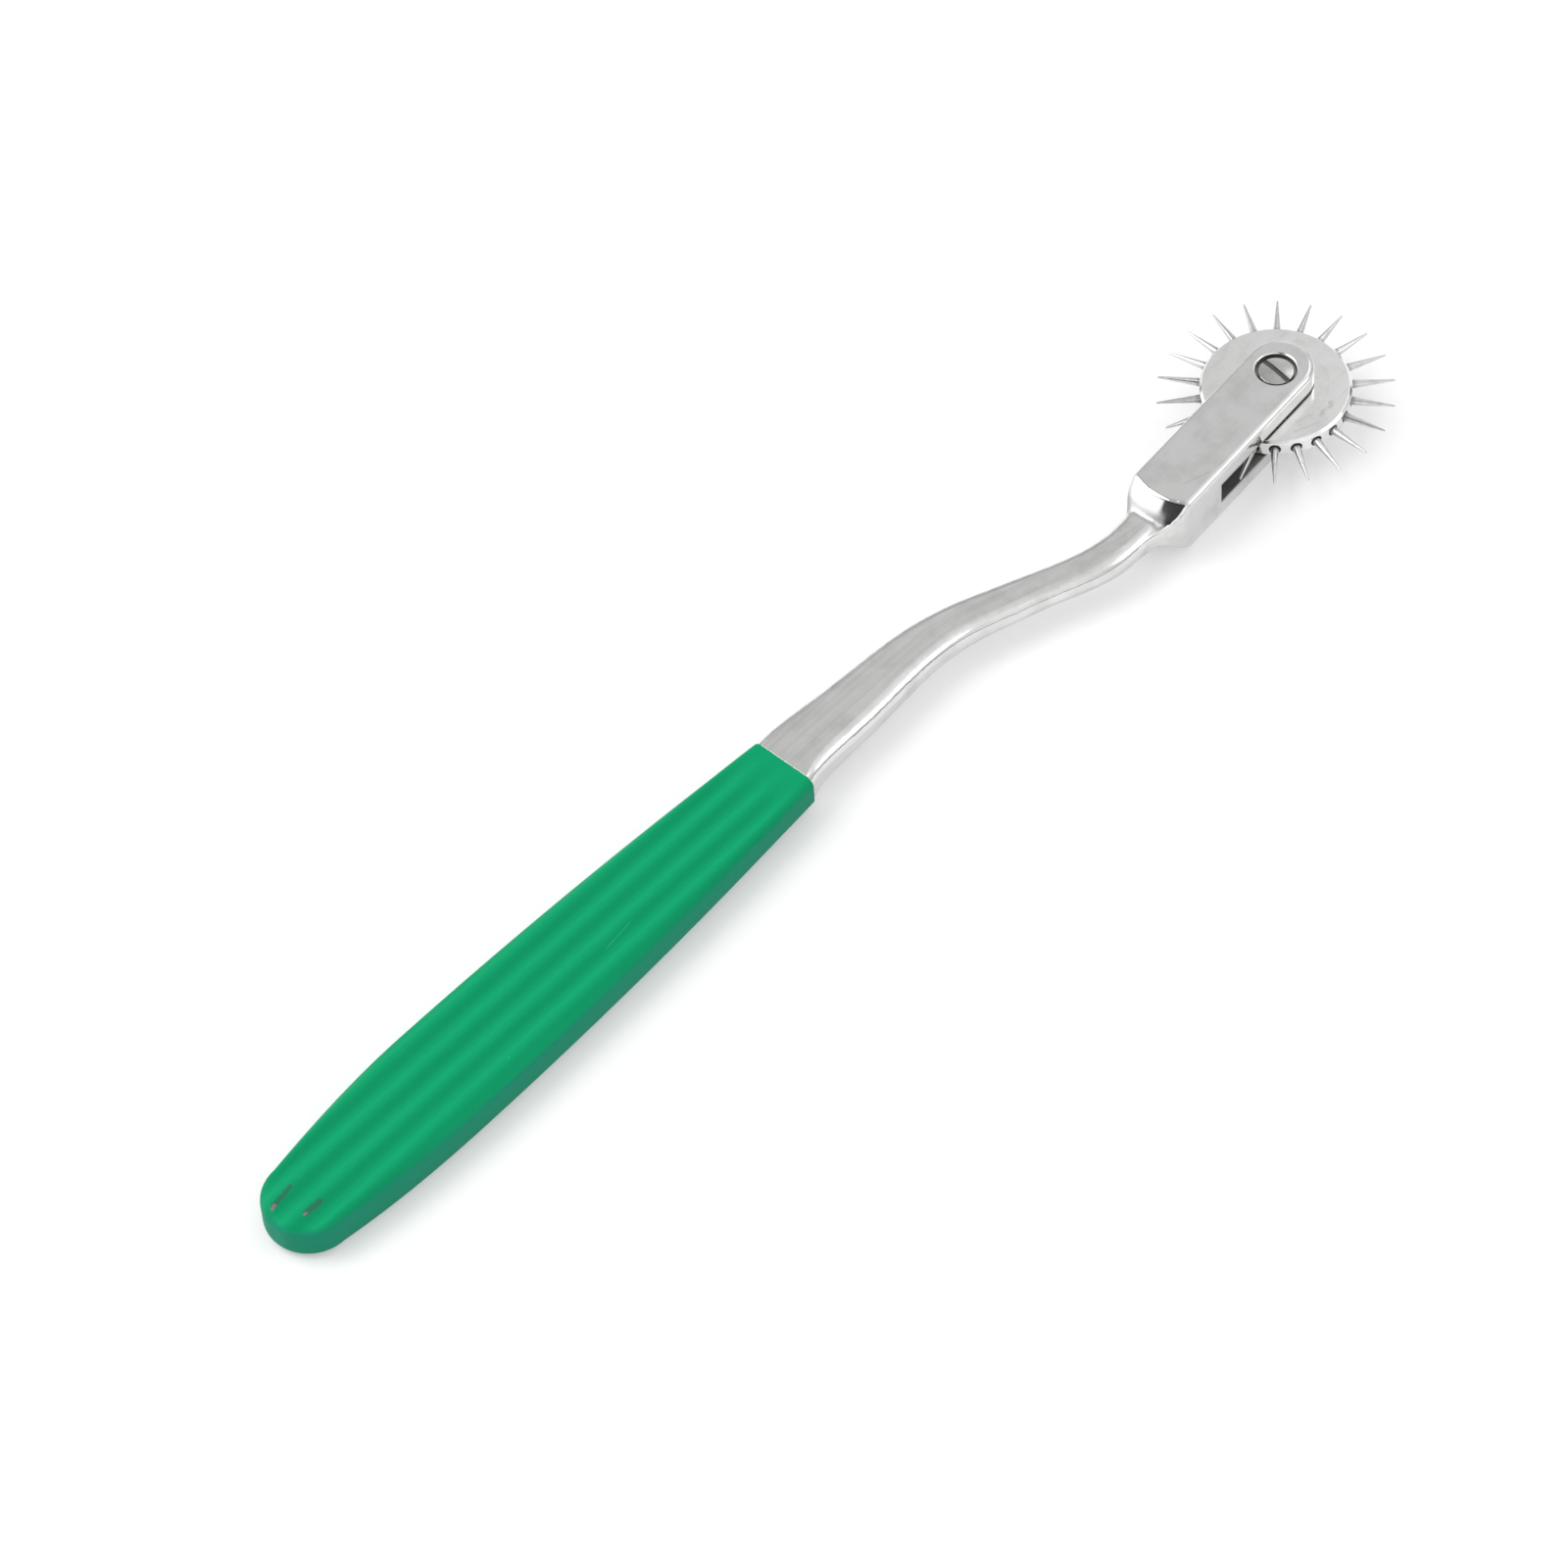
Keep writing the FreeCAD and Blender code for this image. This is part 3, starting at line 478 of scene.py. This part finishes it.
GREEN = (0.004, 0.300, 0.125, 1.0)
GREEN_DEEP_AND_SHADE = (0.003, 0.262, 0.108, 1.0)
GREEN_SIDE_SHADE = (0.014, 0.256, 0.152, 1.0)
GREEN_HIGHLIGHT = (0.006, 0.335, 0.142, 1.0)
GREEN_RUBBED = (0.010, 0.400, 0.190, 1.0)
CHIP_DARK = (0.040, 0.120, 0.085, 1.0)
CHIP_BARE = (0.24, 0.17, 0.17, 1.0)
COAT_ROUGHNESS = 0.42
COAT_SHINE = 0.04
COAT_RELIEF, COAT_SOFTNESS = mm(0.12, 0.1)
COAT_TOP_STARTS = mm(6.0, 6.2)
PEEL_SIZE, FINE_SIZE, RAGGED = mm(0.9, 0.22, 0.7)
DIP_SIZE = mm(16.0, 1.6, 1.6)
RUBBED_SIZE = mm(5.0, 0.06, 0.06)
SIDE_BELOW_TOP = mm(1.0, 0.45)
CHIPS = ((-89.2, 8.30, -93.3, 7.74, 0.75), (-88.40, 4.19, -91.5, 4.25, 0.95))
BARE_SPOTS = ((-92.5, 7.85, -93.5, 7.70, 0.50), (-91.0, 4.22, -91.6, 4.26, 0.40))
SCUFFS = ((-40.75, 3.8, -35.62, 4.26, 0.20), (-60.1, 1.5, -59.5, 1.55, 0.30))

coat = Shader(bpy.data.materials.new("green_coat"))
place = coat.node("ShaderNodeTexCoord", output="Object")
x, y, z = coat.parts(place)
peel = noise(coat, place, PEEL_SIZE, 1.0)
dip = noise(coat, place, DIP_SIZE, 2.0)
fine = noise(coat, place, FINE_SIZE, 2.0)
rubbed = noise(coat, place, RUBBED_SIZE, 1.0).rise(0.70, 0.76)
ragged_y = y + (fine - 0.5) * RAGGED
coat_top = z.rise(*COAT_TOP_STARTS)
chip = marks(x, ragged_y, CHIPS) * coat_top
bare = marks(x, ragged_y, BARE_SPOTS) * coat_top
scuff = marks(x, y, SCUFFS) * coat_top
pitch = between((COAT_HIGH.x - x) / (COAT_HIGH.x - COAT_LOW.x), LOBE_PITCH)
lobe_turn = (y - COAT_MIDDLE) / pitch * (2 * math.pi)
lobe_share = x.fall(COAT_HIGH.x - LOBE_START, COAT_HIGH.x)
lobe = (0.5 - 0.5 * lobe_turn.cosine()) * lobe_share
# Painted highlight on one flank of each lobe and painted shade on the other; the deeper green
# also carries the dip's random tone.
flank_highlight = (lobe_turn + math.pi / 2).cosine().rise(0.45, 1.0) * lobe_share * coat_top
flank_shade = (lobe_turn - math.pi / 2).cosine().rise(-0.4, 1.0) * lobe_share * coat_top
face_drop = (COAT_HIGH.z - COAT_LOW.z) / 2 - FRONT_HALF_HEIGHT
level = z + (x - COAT_LOW.x) * (face_drop / (COAT_HIGH.x - COAT_LOW.x))
# Painted shade: the side wall gets a darker, bluer copy of the green.
side_shade = level.fall(*[COAT_HIGH.z - below for below in SIDE_BELOW_TOP])
colour = blend(coat, dip * 0.35 + flank_shade * 0.55, GREEN, GREEN_DEEP_AND_SHADE)
colour = blend(coat, flank_highlight * 0.6, colour, GREEN_HIGHLIGHT)
colour = blend(coat, side_shade, colour, GREEN_SIDE_SHADE)
colour = blend(coat, (rubbed * 0.4).larger(scuff * 0.7), colour, GREEN_RUBBED)
colour = blend(coat, chip * 0.75, colour, CHIP_DARK)
colour = blend(coat, bare, colour, CHIP_BARE)
relief = lobe * 1.1 + peel * 0.10 + dip * 0.3 + fine * 0.02 - rubbed * 0.02 - chip * 0.4
surface(coat, {"Base Color": colour, "Roughness": COAT_ROUGHNESS + peel * 0.06 + chip * 0.3,
               "Specular IOR Level": COAT_SHINE}, relief, COAT_RELIEF, COAT_SOFTNESS)
coat_mesh.materials.append(coat.owner)


# Wheel disc
# Turned from bright steel and polished. Fine turning rings run round it; it is clouded and
# stained from handling, the insides of the needle holes are darker, and the side towards the neck
# is painted darker as painted shade.
DISC = (0.90, 0.90, 0.895, 1.0)
DISC_CLOUDED_AND_SHADED = (0.68, 0.68, 0.675, 1.0)
DISC_STAINED = (0.34, 0.335, 0.32, 1.0)
DISC_ROUGHNESS = 0.11
DISC_RELIEF, DISC_SOFTNESS = mm(0.10, 0.12)
RING_WIDTH = 0.10 * MM
DISC_CLOUD_SIZE, DISC_WAVE_SIZE, DISC_FINE_SIZE = mm(3.2, 6.0, 0.35)
DISC_STREAK_SIZE = mm(4.5, 0.7, 0.7)
DISC_PIT_SPACING, DISC_PIT_WIDTH = mm(1.9, 0.14)
STAINS = ((81.9, -7.0, 80.7, -7.8, 0.9), (80.3, -7.2, 78.9, -7.7, 0.7))
FAINT_STAINS = ((74.6, -6.6, 78.3, -8.2, 0.5),)
RUBBED_RADIUS, RUBBED_HALF = 6.6 * MM, mm(0.05, 0.35)
DARKER_NEAR_NECK = mm(-8.0, 12.0)
RIM_RADIUS = 9.65 * MM
HOLE_DARK = (0.16, 0.155, 0.15, 1.0)
HOLE_BELOW_RIM, HOLE_HALF = mm(0.03, 0.01), mm(0.90, 0.94)

disc = Shader(bpy.data.materials.new("polished_disc"))
place = disc.node("ShaderNodeTexCoord", output="Object")
x, y, z = disc.parts(place)
off_axle = ((x - AXLE.x) ** 2 + (y - AXLE.y) ** 2) ** 0.5
ring_place = disc.node("ShaderNodeCombineXYZ", None, {"X": off_axle / RING_WIDTH, "Y": z / MM})
ring = disc.node("ShaderNodeTexNoise", None,
                 {"Vector": ring_place, "Scale": 1.0, "Detail": 2.0, "Roughness": 0.6})
cloud = noise(disc, place, DISC_CLOUD_SIZE, 4.0, 0.62).rise(0.40, 0.70)
streak = noise(disc, place, DISC_STREAK_SIZE, 3.0, 0.6).rise(0.52, 0.76)
wave = noise(disc, place, DISC_WAVE_SIZE, 1.0)
fine = noise(disc, place, DISC_FINE_SIZE, 2.0)
stain = marks(x, y + (fine - 0.5) * MM, STAINS).larger(marks(x, y, FAINT_STAINS) * 0.5)
pit = pits(disc, place, DISC_PIT_SPACING, DISC_PIT_WIDTH)
rubbed = (off_axle - RUBBED_RADIUS).size().fall(*RUBBED_HALF) * cloud
# The insides of the needle holes are darker.
in_hole = off_axle.fall(*[RIM_RADIUS - below for below in HOLE_BELOW_RIM])
in_hole = in_hole * (z - CHEEK_TOP / 2).size().fall(*HOLE_HALF)
# Painted shade: the side of the disc towards the neck is painted darker; the same colour also
# carries the real clouding.
shade_near_neck = (x - y).fall(*[AXLE.x + beside for beside in DARKER_NEAR_NECK])
colour = blend(disc, cloud * 0.35 + streak * 0.25 + ring * 0.15 + shade_near_neck * 0.25, DISC,
               DISC_CLOUDED_AND_SHADED)
colour = blend(disc, (stain * 0.35).larger(pit * 0.5).larger(rubbed * 0.12), colour, DISC_STAINED)
colour = blend(disc, in_hole, colour, HOLE_DARK)
surface(disc, {"Base Color": colour, "Metallic": 1.0,
               "Roughness": DISC_ROUGHNESS + cloud * 0.05 + stain * 0.15 + in_hole * 0.3},
        ring * 0.012 + wave * 0.8 - pit * 0.04, DISC_RELIEF, DISC_SOFTNESS)
dress("wheel_disc", disc)


# Needle pins
# Hard steel wire ground to long points and pressed into the rim's holes. The grinding has left
# fine marks, and the shanks are darker where they leave the rim.
NEEDLE = (0.68, 0.68, 0.675, 1.0)
NEEDLE_ROOT = (0.30, 0.295, 0.285, 1.0)
NEEDLE_ROUGHNESS = 0.16
NEEDLE_RELIEF, NEEDLE_SOFTNESS = mm(0.004, 0.02)
NEEDLE_GRAIN_SIZE, NEEDLE_PATCH_SIZE = mm(0.09, 0.8)
ROOT_OUTSIDE_RIM = mm(0.10, 0.9)

ground = Shader(bpy.data.materials.new("ground_needles"))
place = ground.node("ShaderNodeTexCoord", output="Object")
x, y, z = ground.parts(place)
off_axle = ((x - AXLE.x) ** 2 + (y - AXLE.y) ** 2) ** 0.5
grain = noise(ground, place, NEEDLE_GRAIN_SIZE, 2.0)
patch = noise(ground, place, NEEDLE_PATCH_SIZE, 2.0).rise(0.42, 0.70)
root = off_axle.fall(*[RIM_RADIUS + outside for outside in ROOT_OUTSIDE_RIM])
colour = blend(ground, (root * 0.8).larger(patch * 0.25), NEEDLE, NEEDLE_ROOT)
surface(ground, {"Base Color": colour, "Metallic": 1.0,
                 "Roughness": NEEDLE_ROUGHNESS + patch * 0.08 + root * 0.1},
        grain, NEEDLE_RELIEF, NEEDLE_SOFTNESS)
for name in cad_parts:
    if name.startswith("needle_pin"):
        dress(name, ground)


# Axle screw
# Turned steel with a low crowned head, set in the recess of the upper cheek and screwed into
# the lower one. The driver slot, a band beside it on the head and the head's side down in the
# recess are painted dark as painted shade.
SCREW = (0.58, 0.58, 0.575, 1.0)
SCREW_CLOUDED = (0.44, 0.44, 0.435, 1.0)
SCREW_SLOT_SHADE = (0.17, 0.168, 0.164, 1.0)
HEAD_SIDE_SHADE = (0.080, 0.078, 0.075, 1.0)
SCREW_ROUGHNESS = 0.17
SCREW_RELIEF, SCREW_SOFTNESS = mm(0.006, 0.12)
TURNING_WIDTH, SCREW_CLOUD_SIZE, SCREW_GRAIN_SIZE = mm(0.06, 1.4, 0.12)
HEAD_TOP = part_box("axle_screw")[1].z
HEAD_BRIM = HEAD_TOP - 0.2 * MM
HEAD_SIDE = 2.25 * MM
DRIVER_SLOT_TURN = math.radians(82.0)
DRIVER_SLOT_HALF = 0.30 * MM
DRIVER_SLOT_FLOOR = mm(0.55, 0.52)
SHADE_BESIDE_SLOT = mm(0.04, 0.16)

screw = Shader(bpy.data.materials.new("turned_screw"))
place = screw.node("ShaderNodeTexCoord", output="Object")
x, y, z = screw.parts(place)
off_axle = ((x - AXLE.x) ** 2 + (y - AXLE.y) ** 2) ** 0.5
across = (y - AXLE.y) * math.cos(DRIVER_SLOT_TURN) - (x - AXLE.x) * math.sin(DRIVER_SLOT_TURN)
in_driver_slot = across.size().fall(DRIVER_SLOT_HALF, DRIVER_SLOT_HALF + SLIVER)
in_driver_slot = in_driver_slot * z.rise(*[HEAD_TOP - below for below in DRIVER_SLOT_FLOOR])
on_side = off_axle.rise(HEAD_SIDE - SLIVER, HEAD_SIDE - SLIVER / 2)
on_side = on_side * z.fall(HEAD_BRIM - SLIVER, HEAD_BRIM)
dark = in_driver_slot.larger(on_side)
ring_place = screw.node("ShaderNodeCombineXYZ", None, {"X": off_axle / TURNING_WIDTH})
ring = screw.node("ShaderNodeTexNoise", None, {"Vector": ring_place, "Scale": 1.0, "Detail": 2.0})
cloud = noise(screw, place, SCREW_CLOUD_SIZE, 3.0, 0.6).rise(0.40, 0.70)
grain = noise(screw, place, SCREW_GRAIN_SIZE, 2.0)
colour = blend(screw, cloud * 0.6 + ring * 0.4, SCREW, SCREW_CLOUDED)
# Painted shade: the driver slot and a band beside it are painted dark, and so is the head's side
# down in the recess.
beside_slot = across.size().fall(*[DRIVER_SLOT_HALF + out for out in SHADE_BESIDE_SLOT])
colour = blend(screw, in_driver_slot.larger(beside_slot * 0.7), colour, SCREW_SLOT_SHADE)
colour = blend(screw, on_side, colour, HEAD_SIDE_SHADE)
surface(screw, {"Base Color": colour, "Metallic": 1.0,
                "Roughness": SCREW_ROUGHNESS + cloud * 0.06 + dark * 0.3},
        ring + grain * 0.4, SCREW_RELIEF, SCREW_SOFTNESS)
dress("axle_screw", screw)
